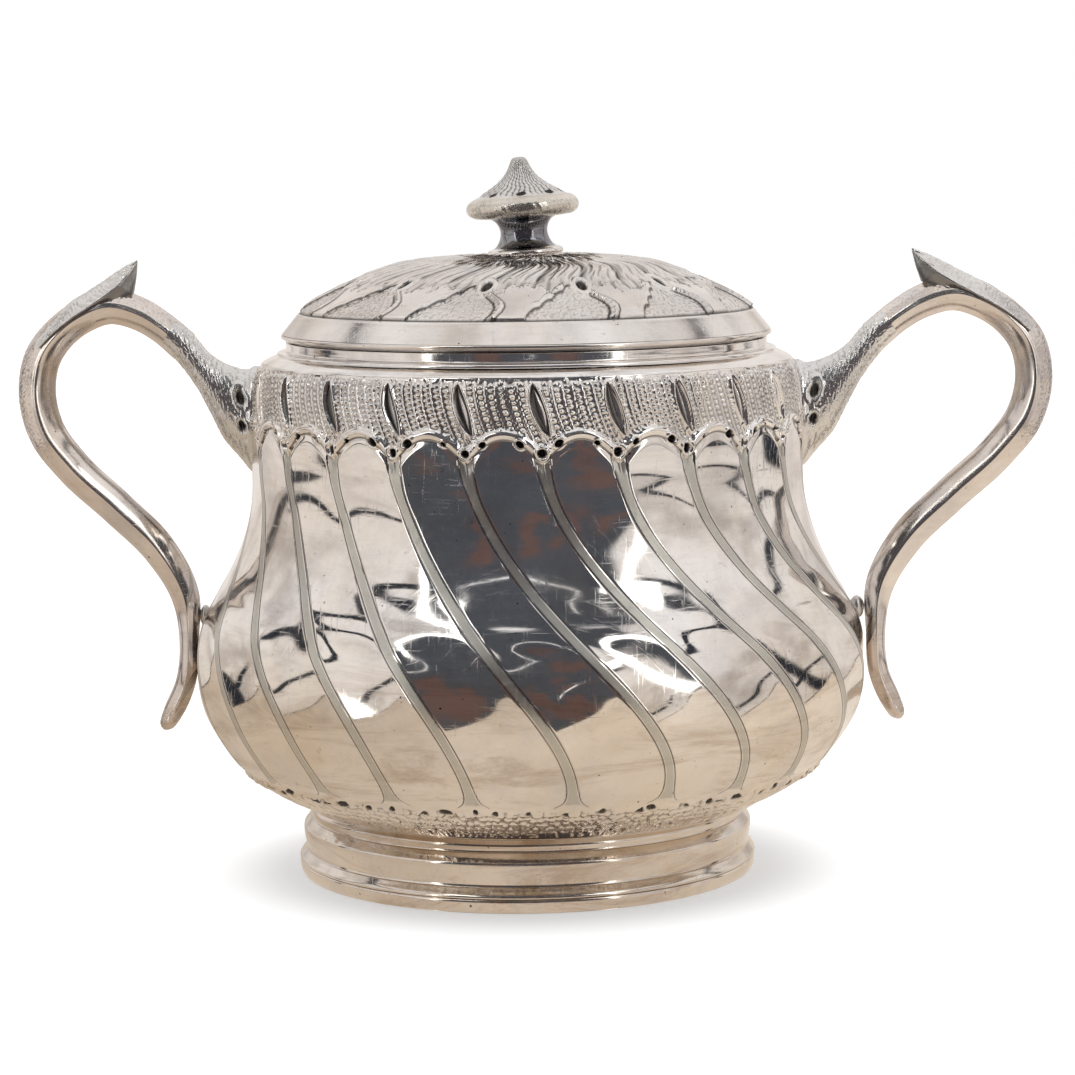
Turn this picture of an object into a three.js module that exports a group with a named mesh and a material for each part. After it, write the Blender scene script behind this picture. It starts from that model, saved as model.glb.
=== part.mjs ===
// Two-handled covered sugar bowl in silver plate.
// Millimetres, +Z up, origin at the middle of the foot's underside. The handles lie along X.

import * as THREE from 'three';

// Driving dimensions
const BODY_WALL = 1.6;
const GAP = 0.3; // clearance between soldered or resting neighbours

// Swirled flutes
const FLUTES = 24;
const FLUTE_RISE = 0.75; // height of a lobe above the flat ribs
const FLUTE_TOP_Z = 89.0;
const FLUTE_BOTTOM_Z = 21.4;
const SWIRL_TOP_Z = 87.6;
const SWIRL_BOTTOM_Z = 23.0;
const SWIRL_TURN = THREE.MathUtils.degToRad(36.5);
const FIRST_RIB = THREE.MathUtils.degToRad(3);
const FLUTE_FADE = 2.5; // length over which a lobe rises at each end
const COLUMNS_PER_FLUTE = 3;

// Foot and mouth
const FOOT_TOP_Z = 13.5;
const FOOT_TOP_RADIUS = 42.1;
const MOUTH_RADIUS = 47.1;
const MOUTH_TOP_Z = 103.0;
const COLLAR_TOP_Z = 105.0;
const COLLAR_OUTER_RADIUS = MOUTH_RADIUS - GAP;
const COLLAR_WALL = 1.1;

// Lid
const LID_BOTTOM_Z = COLLAR_TOP_Z + GAP;
const LID_RIM_RADIUS = 48.0;
const LID_RIM_HEIGHT = 1.6;
const LID_TOP_Z = 121.0;
const LID_WALL = 1.2;
const BEZEL_OUTER_RADIUS = COLLAR_OUTER_RADIUS - COLLAR_WALL - GAP;
const BEZEL_WALL = 1.0;
const BEZEL_BOTTOM_Z = 98.5;
const BEZEL_TOP_Z = 108.0;

// Finial and its fixings
const FINIAL_LEAN = THREE.MathUtils.degToRad(-3.4);
const STUD_RADIUS = 1.4;
const STUD_HOLE_RADIUS = STUD_RADIUS + 0.4;
const FINIAL_BASE_RADIUS = 7.3;
const FINIAL_BASE_HEIGHT = 1.1;
const FINIAL_FOOT_Z = LID_TOP_Z + GAP + FINIAL_BASE_HEIGHT;
const WASHER_RADIUS = 5.0;
const WASHER_THICKNESS = 0.8;
const NUT_ACROSS_CORNERS = 9.0;
const NUT_HEIGHT = 2.4;

// Handles
const HANDLE_ROOT_X = 54.8;
const LUG_WIDTH = 4.4;
const SIDES = {
  left: { sign: -1, stretch: 1.0, rise: 0.0 },
  right: { sign: 1, stretch: 1.08, rise: 0.02 }, // this handle was bent a little wider and higher
};

// Segments
const RING_SEGMENTS = 48;
const SMALL_SEGMENTS = 24;

// Silhouette of the body over the lobes, [radius, height]
const BODY_OUTLINE = [
  [45.3, 14.6], [50.1, 17], [56.2, 21], [60.3, 26], [64, 32], [65.7, 38], [65.8, 44], [64.5, 50],
  [61.3, 56], [58.1, 62], [55.8, 68], [54.4, 74], [54.3, 80], [54.4, 86], [54.3, 92], [53.9, 97],
  [52.3, 100.5], [49.4, 102.8],
];

// Dome of the lid from the stud hole out to the rim, [radius, height]
const DOME_OUTLINE = [
  [STUD_HOLE_RADIUS, LID_TOP_Z], [10, 121], [18, 120.8], [24.7, 120.2], [31.7, 118.2], [35.7, 116.3],
  [39.1, 114.3], [42.5, 112.3], [45, 110.4], [47.2, 108.6], [47.5, 107.2],
];

// Centre line of a handle from its socket over the loop to the tail: [x, z, thickness, width]
const HANDLE_LINE = [
  [68.8, 105.6, 6.3, 6.3], [75.6, 110.4, 6.6, 6.5], [82, 112, 7, 6.8], [87, 110.2, 6.8, 6.8],
  [91.6, 106.8, 6.8, 6.8], [94.9, 102.4, 7.2, 6.8], [96.3, 95.5, 7.4, 6.8], [94.6, 87.4, 7.5, 6.8],
  [89.6, 80.4, 7.3, 6.8], [81.2, 72.3, 7.1, 6.4], [73.1, 63.9, 6.8, 6.2], [68.3, 54.8, 5.7, 5.6],
  [67.9, 45.7, 3.5, 4.8], [68.7, 37.3, 3.9, 4.3], [72, 30, 3.5, 4], [73.2, 27.8, 1, 1],
];

// Flare between body and handle: upper edge x, z, then lower edge x, z, then width
const SOCKET_LINE = [
  [54.8, 99.4, 54.8, 80, 9.5], [57.6, 100.1, 56.9, 81.8, 9], [60.2, 101.2, 59.7, 85.4, 8.4],
  [62.4, 102.9, 62.2, 90.5, 7.8], [64.2, 105.1, 65, 95.8, 7.2], [66.2, 107.3, 70.2, 102.7, 6.6],
];

// Thumb leaf from its tip: ridge x, z, then underside x, z, then width
const LEAF_LINE = [
  [76, 121, 75.9, 120.6, 0.6], [76.9, 120.6, 76.3, 117.8, 2.6], [77.9, 120.1, 77, 115.5, 4.8],
  [79.8, 119.1, 79, 115.9, 6.8], [82.4, 117.3, 82, 115.9, 7.4], [85.6, 115.8, 85.3, 115.1, 6.4],
  [89.4, 113.3, 89.2, 113.1, 3],
];

function smoothstep(low, high, value) {
  const t = THREE.MathUtils.clamp((value - low) / (high - low), 0, 1);
  return t * t * (3 - 2 * t);
}

/** Solid of revolution about +Z; the outline starts and ends on the axis or closes on itself. */
function revolve(outline, segments) {
  const points = outline.map(([radius, height]) => new THREE.Vector2(radius, height));
  return new THREE.LatheGeometry(points, segments).rotateX(Math.PI / 2);
}

/** Ring of revolution: the outline is closed here by repeating its first point. */
function revolveRing(outline, segments) {
  return revolve([...outline, outline[0]], segments);
}

/** The outline moved sideways by distance, to the inside of a shell drawn bottom to top. */
function offsetOutline(outline, distance) {
  return outline.map(([radius, height], i) => {
    const before = outline[Math.max(i - 1, 0)];
    const after = outline[Math.min(i + 1, outline.length - 1)];
    const along = new THREE.Vector2(after[0] - before[0], after[1] - before[1]).normalize();
    return [radius - along.y * distance, height + along.x * distance];
  });
}

/** How far round the ribs have turned at this height. */
function swirlAngle(z) {
  return SWIRL_TURN * (1 - smoothstep(SWIRL_BOTTOM_Z, SWIRL_TOP_Z, z));
}

/** 0 on the plain borders, 1 where the flutes have their full height. */
function fluteStrength(z) {
  const atBottom = smoothstep(FLUTE_BOTTOM_Z, FLUTE_BOTTOM_Z + FLUTE_FADE, z);
  const atTop = smoothstep(FLUTE_TOP_Z - FLUTE_FADE, FLUTE_TOP_Z, z);
  return atBottom * (1 - atTop);
}

/** Turns each outer row with the swirl and sinks every column that lies on a rib. */
function addFlutes(geometry, outlineLength, outerStart, outerEnd) {
  const position = geometry.attributes.position;
  for (let i = 0; i < position.count; i += 1) {
    const row = i % outlineLength;
    const column = Math.floor(i / outlineLength);
    const outer = row >= outerStart && row < outerEnd;
    const x = position.getX(i);
    const y = position.getY(i);
    const z = position.getZ(i);
    const onRib = outer && column % COLUMNS_PER_FLUTE === 0;
    const radius = Math.hypot(x, y) - (onRib ? FLUTE_RISE * fluteStrength(z) : 0);
    const turn = (2 * Math.PI * column) / (FLUTES * COLUMNS_PER_FLUTE);
    const angle = FIRST_RIB + turn + (outer ? swirlAngle(z) : 0);
    position.setXYZ(i, radius * Math.sin(angle), -radius * Math.cos(angle), z);
  }
  return geometry;
}

/** The smooth inside wall, top to bottom, with half as many rows as the outside. */
function bodyInside() {
  const wall = offsetOutline(BODY_OUTLINE, BODY_WALL).slice(2, -1);
  return wall.filter((point, i) => i % 2 === 0).reverse();
}

function bowlBody() {
  const bottom = FOOT_TOP_Z + GAP;
  const base = [[0, bottom], [FOOT_TOP_RADIUS - GAP, bottom]];
  const mouth = [[48.4, MOUTH_TOP_Z], [MOUTH_RADIUS, MOUTH_TOP_Z - 0.3], [MOUTH_RADIUS, 101.2]];
  const floor = [[46, bottom + BODY_WALL + 1.2], [0, bottom + BODY_WALL]];
  const outline = [...base, ...BODY_OUTLINE, ...mouth, ...bodyInside(), ...floor];
  const geometry = revolve(outline, FLUTES * COLUMNS_PER_FLUTE);
  return addFlutes(geometry, outline.length, base.length, base.length + BODY_OUTLINE.length);
}

function footRing() {
  const outside = [
    [44.3, 2.7], [44.3, 3.5], [44.6, 4.2], [44.4, 5.4], [43.7, 6.1], [43.9, 7], [43.4, 8.8],
    [42.4, 10.1], [42.9, 11], [42.8, 12.4], [FOOT_TOP_RADIUS, FOOT_TOP_Z],
  ];
  const inside = [[40.6, FOOT_TOP_Z], [41, 10], [42.4, 2.7]];
  return revolveRing([...outside, ...inside], RING_SEGMENTS);
}

function footBaseWire() {
  const section = [[41.6, 0], [45.2, 0], [45.2, 1.2], [44.9, 2.4], [41.6, 2.4]];
  return revolveRing(section, RING_SEGMENTS);
}

function mouthCollar() {
  const inner = COLLAR_OUTER_RADIUS - COLLAR_WALL;
  const section = [
    [inner, 100.5], [COLLAR_OUTER_RADIUS, 100.5], [COLLAR_OUTER_RADIUS, MOUTH_TOP_Z + GAP],
    [47.9, MOUTH_TOP_Z + GAP], [48.1, 103.9], [47.4, 104.3], [47.4, COLLAR_TOP_Z],
    [inner, COLLAR_TOP_Z],
  ];
  return revolveRing(section, RING_SEGMENTS);
}

function lidDome() {
  const upward = [...DOME_OUTLINE].reverse();
  const inside = offsetOutline(upward, LID_WALL).reverse();
  inside[0][0] = STUD_HOLE_RADIUS;
  const rim = [46.2, DOME_OUTLINE.at(-1)[1]];
  const outline = [...upward, ...inside.slice(0, -1), rim];
  return revolveRing(outline, RING_SEGMENTS);
}

function lidRimWire() {
  const inner = BEZEL_OUTER_RADIUS + GAP;
  const top = LID_BOTTOM_Z + LID_RIM_HEIGHT;
  const section = [
    [inner, LID_BOTTOM_Z], [LID_RIM_RADIUS - 0.5, LID_BOTTOM_Z],
    [LID_RIM_RADIUS, LID_BOTTOM_Z + LID_RIM_HEIGHT / 2], [LID_RIM_RADIUS - 0.5, top], [inner, top],
  ];
  return revolveRing(section, RING_SEGMENTS);
}

function lidBezel() {
  const inner = BEZEL_OUTER_RADIUS - BEZEL_WALL;
  const section = [
    [inner, BEZEL_BOTTOM_Z], [BEZEL_OUTER_RADIUS, BEZEL_BOTTOM_Z],
    [BEZEL_OUTER_RADIUS, BEZEL_TOP_Z - 0.3], [BEZEL_OUTER_RADIUS - 0.3, BEZEL_TOP_Z],
    [inner, BEZEL_TOP_Z],
  ];
  return revolveRing(section, RING_SEGMENTS);
}

/** Heights from here up to the cap are above the finial's own foot, which leans as one. */
function finialNeck() {
  return revolve([
    [0, 4], [STUD_HOLE_RADIUS, 4], [STUD_HOLE_RADIUS, 0.7], [5.6, 0.7], [5.1, 1.5], [4.6, 3.1],
    [5, 4.6], [5.8, 5.7], [0, 5.7],
  ], SMALL_SEGMENTS);
}

function finialDisc() {
  return revolve([
    [0, 6], [8.6, 6], [10.4, 6.5], [11, 8], [10.5, 9.5], [9, 10], [0, 10],
  ], SMALL_SEGMENTS);
}

function finialCap() {
  return revolve([
    [0, 10.3], [7.7, 10.3], [6.8, 11.5], [4.9, 12.5], [3.6, 13.7], [2.4, 15.2], [1.7, 16.6],
    [1.1, 17.4], [0, 17.7],
  ], SMALL_SEGMENTS);
}

function flatRing(outerRadius, bottom, thickness) {
  const top = bottom + thickness;
  const section = [
    [STUD_HOLE_RADIUS, bottom], [outerRadius, bottom], [outerRadius, top], [STUD_HOLE_RADIUS, top],
  ];
  return revolveRing(section, SMALL_SEGMENTS);
}

function finialStud(bottom) {
  const top = FINIAL_FOOT_Z + 2.2;
  return revolve([[0, bottom], [STUD_RADIUS, bottom], [STUD_RADIUS, top], [0, top]], SMALL_SEGMENTS);
}

function finialNut(bottom) {
  const hexagon = new THREE.Shape();
  for (let corner = 0; corner < 6; corner += 1) {
    const angle = (corner * Math.PI) / 3;
    const x = (NUT_ACROSS_CORNERS / 2) * Math.cos(angle);
    const y = (NUT_ACROSS_CORNERS / 2) * Math.sin(angle);
    if (corner === 0) hexagon.moveTo(x, y);
    else hexagon.lineTo(x, y);
  }
  hexagon.closePath();
  hexagon.holes.push(new THREE.Path().absarc(0, 0, STUD_HOLE_RADIUS, 0, 2 * Math.PI, true));
  const options = { depth: NUT_HEIGHT, bevelEnabled: false, curveSegments: 8 };
  return new THREE.ExtrudeGeometry(hexagon, options).translate(0, 0, bottom);
}

/** A point of a handle in the XZ plane, placed on its own side of the bowl. */
function onSide(side, x, z) {
  const reach = x - HANDLE_ROOT_X;
  const placedX = side.sign * (HANDLE_ROOT_X + reach * side.stretch);
  return new THREE.Vector3(placedX, 0, z + reach * side.rise);
}

function curveThrough(points) {
  return new THREE.CatmullRomCurve3(points.map((p) => new THREE.Vector3(...p)));
}

/** A closed rod with flat ends; place(t, across, along) puts a point of its unit section. */
function shapedRod(sides, steps, place) {
  const geometry = new THREE.CylinderGeometry(1, 1, 1, sides, steps);
  const position = geometry.attributes.position;
  for (let i = 0; i < position.count; i += 1) {
    const t = THREE.MathUtils.clamp(0.5 - position.getY(i), 0, 1);
    const { x, y, z } = place(t, position.getX(i), position.getZ(i));
    position.setXYZ(i, x, y, z);
  }
  return geometry;
}

/** A rod between an upper and a lower edge line, with its width across Y. */
function rodBetweenEdges(side, line, sides, steps, edgeShare) {
  const upper = curveThrough(line.map(([x, z, , , width]) => [x, width, z]));
  const lower = curveThrough(line.map(([, , x, z, width]) => [x, width, z]));
  return shapedRod(sides, steps, (t, across, along) => {
    const top = upper.getPoint(t);
    const low = lower.getPoint(t);
    const share = ((1 + across) / 2) ** edgeShare;
    const point = onSide(side, low.x + (top.x - low.x) * share, low.z + (top.z - low.z) * share);
    point.y = (-side.sign * along * top.y) / 2;
    return point;
  });
}

function handle(side) {
  const centre = curveThrough(HANDLE_LINE.map(([x, z]) => onSide(side, x, z).toArray()));
  const section = curveThrough(HANDLE_LINE.map(([, , thickness, width]) => [thickness, width, 0]));
  return shapedRod(10, 34, (t, across, along) => {
    const tangent = centre.getTangent(t);
    const size = section.getPoint(t);
    const outward = new THREE.Vector3(-tangent.z, 0, tangent.x).multiplyScalar(side.sign);
    const point = centre.getPoint(t).addScaledVector(outward, (across * size.x) / 2);
    point.y = (-side.sign * along * size.y) / 2;
    return point;
  });
}

function handleSocket(side) {
  return rodBetweenEdges(side, SOCKET_LINE, 10, 6, 1);
}

function thumbLeaf(side) {
  return rodBetweenEdges(side, LEAF_LINE, 4, 6, 2);
}

/** Wedge of solder that fills the gap between the body and the handle's tail. */
function handleLug(side) {
  const bodyFace = [[64.75, 50.7], [63.6, 53]].map(([x, z]) => new THREE.Vector2(side.sign * x, z));
  const tailFace = [[65, 53], [65, 50.7]].map(([x, z]) => {
    const point = onSide(side, x, z);
    return new THREE.Vector2(point.x, point.z);
  });
  const shape = new THREE.Shape([...bodyFace, ...tailFace]);
  const geometry = new THREE.ExtrudeGeometry(shape, { depth: LUG_WIDTH, bevelEnabled: false });
  return geometry.rotateX(Math.PI / 2).translate(0, LUG_WIDTH / 2, 0);
}

function silver(color, roughness) {
  return new THREE.MeshStandardMaterial({ color, roughness, metalness: 1 });
}

const FINISH = {
  polished: () => silver(0xcfc4b6, 0.18),
  warm: () => silver(0xc4ab8c, 0.2),
  chased: () => silver(0xb9b2aa, 0.35),
  dark: () => silver(0x8f8983, 0.3),
  gilt: () => silver(0xc0a070, 0.28),
  plain: () => silver(0xb8b4ae, 0.3),
};

function named(name, geometry, finish) {
  const mesh = new THREE.Mesh(geometry, FINISH[finish]());
  mesh.name = name;
  return mesh;
}

function bowl() {
  const group = new THREE.Group();
  group.add(
    named('bowl_body', bowlBody(), 'polished'),
    named('foot_ring', footRing(), 'warm'),
    named('foot_base_wire', footBaseWire(), 'warm'),
    named('mouth_collar', mouthCollar(), 'polished'),
  );
  for (const [name, side] of Object.entries(SIDES)) {
    group.add(
      named(`${name}_handle`, handle(side), 'warm'),
      named(`${name}_handle_socket`, handleSocket(side), 'chased'),
      named(`${name}_thumb_leaf`, thumbLeaf(side), 'chased'),
      named(`${name}_handle_lug`, handleLug(side), 'plain'),
    );
  }
  return group;
}

function finial() {
  const group = new THREE.Group();
  group.position.z = FINIAL_FOOT_Z;
  group.rotation.y = FINIAL_LEAN;
  group.add(
    named('finial_neck', finialNeck(), 'dark'),
    named('finial_disc', finialDisc(), 'gilt'),
    named('finial_cap', finialCap(), 'chased'),
  );
  return group;
}

function lid() {
  const washerZ = LID_TOP_Z - LID_WALL - GAP - WASHER_THICKNESS;
  const nutZ = washerZ - GAP - NUT_HEIGHT;
  const group = new THREE.Group();
  group.add(
    named('lid_dome', lidDome(), 'chased'),
    named('lid_rim_wire', lidRimWire(), 'polished'),
    named('lid_bezel', lidBezel(), 'plain'),
    named('finial_base', flatRing(FINIAL_BASE_RADIUS, LID_TOP_Z + GAP, FINIAL_BASE_HEIGHT), 'polished'),
    named('lid_washer', flatRing(WASHER_RADIUS, washerZ, WASHER_THICKNESS), 'plain'),
    named('finial_nut', finialNut(nutZ), 'plain'),
    named('finial_stud', finialStud(nutZ - 0.8), 'plain'),
    finial(),
  );
  return group;
}

const sugarBowl = new THREE.Group();
sugarBowl.add(bowl(), lid());

export default sugarBowl;
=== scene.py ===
"""Looks of the silver sugar bowl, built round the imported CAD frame.

Lengths are in millimetres until mesh_piece() turns them into metres. Angles round the bowl
are in degrees from the front (-Y), growing towards the right handle (+X).
"""

import math

import bpy
import numpy as np
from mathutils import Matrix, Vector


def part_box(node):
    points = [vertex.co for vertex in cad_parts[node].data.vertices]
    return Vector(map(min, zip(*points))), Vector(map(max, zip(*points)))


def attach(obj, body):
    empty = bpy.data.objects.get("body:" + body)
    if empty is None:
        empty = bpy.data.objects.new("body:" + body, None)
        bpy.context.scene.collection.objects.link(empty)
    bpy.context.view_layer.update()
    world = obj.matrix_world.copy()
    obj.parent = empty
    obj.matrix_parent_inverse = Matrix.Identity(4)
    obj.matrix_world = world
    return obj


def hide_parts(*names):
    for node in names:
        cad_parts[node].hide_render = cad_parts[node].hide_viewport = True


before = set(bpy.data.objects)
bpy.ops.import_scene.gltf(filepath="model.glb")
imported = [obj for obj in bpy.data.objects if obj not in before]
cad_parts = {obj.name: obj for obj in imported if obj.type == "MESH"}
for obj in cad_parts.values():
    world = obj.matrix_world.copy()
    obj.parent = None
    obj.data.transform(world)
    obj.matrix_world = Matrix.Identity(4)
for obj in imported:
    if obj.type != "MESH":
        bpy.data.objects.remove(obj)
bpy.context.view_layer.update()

MM = 0.001


def low(node):
    return np.array(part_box(node)[0]) / MM


def high(node):
    return np.array(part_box(node)[1]) / MM


# ---------------------------------------------------------------- sizes shared with the frame

BODY_BOTTOM = float(low("bowl_body")[2])
BODY_TOP = float(high("bowl_body")[2])
COLLAR_TOP = float(high("mouth_collar")[2])
LID_BOTTOM = float(low("lid_rim_wire")[2])
LID_RIM_TOP = float(high("lid_rim_wire")[2])
LID_TOP = float(high("lid_dome")[2])
BEZEL_BOTTOM = float(low("lid_bezel")[2])
FINIAL_FOOT = float(high("finial_base")[2])

FLUTES = 24
FLUTE_PITCH = 360.0 / FLUTES
FIRST_RIB = 3.0
RIB_HALF_WIDTH = 0.95
SWIRL_TOP = 87.6
SWIRL_BOTTOM = 23.0
SWIRL_TURN = 36.5
FLUTE_FLOOR = 21.9

# Heights of the chasing on the body
BORDER_BOTTOM = 14.4
BORDER_END = 25.5
BORDER_RADIUS = 50.0
BAND_START = 83.5
BAND_MIDDLE = 95.0
BAND_RADIUS = 54.0
RING_LEVEL = 87.0
PUNCH_LEVEL = 88.7
ARCH_TOP = 90.5
SHOULDER_START = 100.2

WALL = 1.5
MOUTH_RADIUS = 47.2
MOUTH_EDGE = BODY_TOP - 0.9
BODY_OUTLINE = [
    (42.4, BODY_BOTTOM), (44.8, BODY_BOTTOM + 0.1), (46.6, 14.7), (51.4, 17.0), (57.2, 21.0),
    (61.3, 26.0), (64.6, 32.0), (66.0, 38.0), (66.1, 44.0), (64.7, 50.0), (61.4, 56.0),
    (58.1, 62.0), (55.8, 68.0), (54.4, 74.0), (54.2, 80.0), (54.3, 86.0), (54.3, 92.0),
    (53.9, 97.0), (53.2, 99.3), (52.4, 100.3), (50.8, 101.3), (49.3, 102.0),
    (48.2, BODY_TOP - 0.6), (MOUTH_RADIUS, MOUTH_EDGE),
]


# ---------------------------------------------------------------- small maths

def smoothstep(start, end, value):
    t = np.clip((value - start) / (end - start), 0.0, 1.0)
    return t * t * (3.0 - 2.0 * t)


def mound(distance):
    """1 at 0, falling smoothly to 0 at a distance of 1."""
    return np.clip(1.0 - distance**2, 0.0, 1.0) ** 2


def scatter(*numbers):
    """A repeatable random number from 0 to 1 for each combination of whole numbers."""
    total = sum(n * k for n, k in zip(numbers, (12.9898, 78.233, 37.719)))
    return np.mod(np.sin(total) * 43758.5453, 1.0)


def smooth_curve(points, samples):
    """Points evenly spaced along a smooth curve through the given points."""
    points = np.asarray(points, float)
    chord = np.concatenate([[0.0], np.cumsum(np.linalg.norm(np.diff(points, axis=0), axis=1))])
    slopes = np.gradient(points, chord, axis=0)
    fine = np.linspace(0.0, chord[-1], 60 * len(points))
    span = np.clip(np.searchsorted(chord, fine, side="right") - 1, 0, len(points) - 2)
    width = (chord[span + 1] - chord[span])[:, None]
    t = (fine - chord[span])[:, None] / width
    curve = (
        (2 * t**3 - 3 * t**2 + 1) * points[span]
        + (t**3 - 2 * t**2 + t) * width * slopes[span]
        + (3 * t**2 - 2 * t**3) * points[span + 1]
        + (t**3 - t**2) * width * slopes[span + 1]
    )
    length = np.concatenate([[0.0], np.cumsum(np.linalg.norm(np.diff(curve, axis=0), axis=1))])
    if np.isscalar(samples):
        samples = np.linspace(0.0, 1.0, samples)
    wanted = np.asarray(samples) * length[-1]
    return np.stack([np.interp(wanted, length, column) for column in curve.T], axis=1)


def curve_length(points):
    return float(np.linalg.norm(np.diff(points, axis=0), axis=1).sum())


def pebbles(u, v, size, period=None):
    """Height 0 to 1 of closely packed round grains on a surface, u and v in millimetres."""
    column = np.floor(u / size)
    row = np.floor(v / size)
    columns = None if period is None else max(round(period / size), 1)
    nearest = np.full(np.shape(u), 9.0)
    for step_u in (-1, 0, 1):
        for step_v in (-1, 0, 1):
            cell_u = column + step_u
            cell_v = row + step_v
            key = cell_u if columns is None else np.mod(cell_u, columns)
            centre_u = (cell_u + 0.5 + 0.7 * (scatter(key, cell_v, 1) - 0.5)) * size
            centre_v = (cell_v + 0.5 + 0.7 * (scatter(key, cell_v, 2) - 0.5)) * size
            distance = np.hypot(u - centre_u, v - centre_v) / (0.62 * size)
            nearest = np.minimum(nearest, distance)
    return np.sqrt(np.clip(1.0 - nearest**2, 0.0, 1.0))


def dents(points, size, seed):
    """A gentle unevenness of -1 to 1 over points in space, from a few crossing waves."""
    waves = np.random.default_rng(seed)
    total = 0.0
    for _ in range(7):
        direction = waves.normal(size=3)
        direction *= 2.0 * math.pi / (size * waves.uniform(0.6, 1.6) * np.linalg.norm(direction))
        total = total + np.sin(points @ direction + waves.uniform(0.0, 2.0 * math.pi))
    return total / 3.5


# ---------------------------------------------------------------- meshes

def grid_faces(rows, columns):
    """Quads of a grid whose rows go up and whose columns close round to the right."""
    row, column = np.mgrid[0:rows - 1, 0:columns]
    after = (column + 1) % columns
    quads = [row * columns + column, row * columns + after,
             (row + 1) * columns + after, (row + 1) * columns + column]
    return np.stack(quads, axis=-1).reshape(-1, 4)


def mesh_piece(name, points, body, material, patina_and_shade=None, normals=None, nodes=()):
    """A smooth piece of the model from a grid of points in millimetres."""
    faces = grid_faces(*points.shape[:2])
    mesh = bpy.data.meshes.new(name)
    points = points.reshape(-1, 3)
    mesh.vertices.add(len(points))
    mesh.vertices.foreach_set("co", (points * MM).ravel())
    mesh.loops.add(faces.size)
    mesh.loops.foreach_set("vertex_index", faces.ravel().astype(np.int32))
    mesh.polygons.add(len(faces))
    mesh.polygons.foreach_set("loop_start", np.arange(0, faces.size, 4, dtype=np.int32))
    mesh.update(calc_edges=True)
    mesh.polygons.foreach_set("use_smooth", np.ones(len(faces), bool))
    # A value per point for the silver: below 0 satin, above 0 darkened by tarnish in the chasing
    # and by painted shade
    layer = mesh.attributes.new("patina_and_shade", "FLOAT", "POINT")
    layer.data.foreach_set("value", np.zeros(len(points)) if patina_and_shade is None else np.ravel(patina_and_shade))
    if normals is not None:
        mesh.normals_split_custom_set_from_vertices(normals.reshape(-1, 3))
    mesh.materials.append(material)
    piece = bpy.data.objects.new(name, mesh)
    bpy.context.scene.collection.objects.link(piece)
    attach(piece, body)
    if nodes:
        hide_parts(*nodes)


def round_the_axis(radius, height, degrees):
    angle = np.radians(degrees)
    x, y = radius * np.sin(angle), -radius * np.cos(angle)
    return np.stack([x, y, height + 0.0 * angle], axis=-1)


def outline_normals(outline):
    along = np.gradient(outline, axis=0)
    along /= np.maximum(np.linalg.norm(along, axis=1, keepdims=True), 1e-9)
    return np.stack([along[:, 1], -along[:, 0]], axis=1)


def grid_normals(points):
    """Outward normals of a grid of points that closes round its columns."""
    across = np.roll(points, -1, axis=1) - np.roll(points, 1, axis=1)
    upward = np.gradient(points, axis=0)
    normal = np.cross(across, upward)
    return normal / np.maximum(np.linalg.norm(normal, axis=-1, keepdims=True), 1e-12)


def raised(outline, height, degrees):
    """A turned shape whose surface is pushed out along its normals by a height."""
    normal = outline_normals(outline)
    radius = outline[:, :1] + height * normal[:, :1]
    return round_the_axis(radius, outline[:, 1:] + height * normal[:, 1:], degrees)


def all_round(columns):
    """Angles of columns that are spread evenly round the axis."""
    return (np.arange(columns) * 360.0 / columns)[None, :]


def turned(name, stretches, columns, body, material, nodes=(), move=None, spacing=0.35):
    """A turned piece: each stretch of its outline is smooth and starts where the last ended."""
    outline = []
    start = []
    for stretch in stretches:
        stretch = [*start, *stretch]
        start = stretch[-1:]
        count = max(int(curve_length(np.array(stretch)) / spacing), 2)
        part = smooth_curve(stretch, count) if len(stretch) > 2 else np.linspace(*stretch, count)
        outline.append(part)
    outline = np.concatenate(outline)
    points = round_the_axis(outline[:, :1], outline[:, 1:], all_round(columns))
    if move is not None:
        points = move(points)
    mesh_piece(name, points, body, material, nodes=nodes)


# ---------------------------------------------------------------- materials

class Nodes:
    """Short forms for building one node tree."""

    def __init__(self, tree):
        self.tree = tree
        tree.nodes.clear()

    def add(self, kind, **settings):
        node = self.tree.nodes.new(kind)
        for key, value in settings.items():
            setattr(node, key, value)
        return node

    def plug(self, socket, value):
        if isinstance(value, bpy.types.NodeSocket):
            self.tree.links.new(value, socket)
        else:
            socket.default_value = value

    def math(self, operation, *values):
        node = self.add("ShaderNodeMath", operation=operation)
        for socket, value in zip(node.inputs, values):
            self.plug(socket, value)
        return node.outputs[0]

    def ramp(self, value, start, end, to_start=0.0, to_end=1.0):
        node = self.add("ShaderNodeMapRange", interpolation_type="SMOOTHSTEP")
        for socket, number in zip(node.inputs, (value, start, end, to_start, to_end)):
            self.plug(socket, number)
        return node.outputs[0]

    def mix(self, factor, first, second):
        node = self.add("ShaderNodeMix", data_type="RGBA")
        self.plug(node.inputs[0], factor)
        self.plug(node.inputs[6], first)
        self.plug(node.inputs[7], second)
        return node.outputs[2]

    def noise(self, vector, scale, detail=2.0, roughness=0.5, distortion=0.0):
        node = self.add("ShaderNodeTexNoise")
        self.plug(node.inputs["Vector"], vector)
        node.inputs["Scale"].default_value = scale
        node.inputs["Detail"].default_value = detail
        node.inputs["Roughness"].default_value = roughness
        node.inputs["Distortion"].default_value = distortion
        return node.outputs["Fac"]

    def stretched(self, vector, rotation, scale):
        node = self.add("ShaderNodeMapping")
        self.plug(node.inputs["Vector"], vector)
        node.inputs["Rotation"].default_value = [math.radians(angle) for angle in rotation]
        node.inputs["Scale"].default_value = scale
        return node.outputs[0]

    def send(self, shader, output="ShaderNodeOutputMaterial"):
        """Joins a shader to the tree's output."""
        self.plug(self.add(output).inputs[0], shader.outputs[0])


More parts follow.
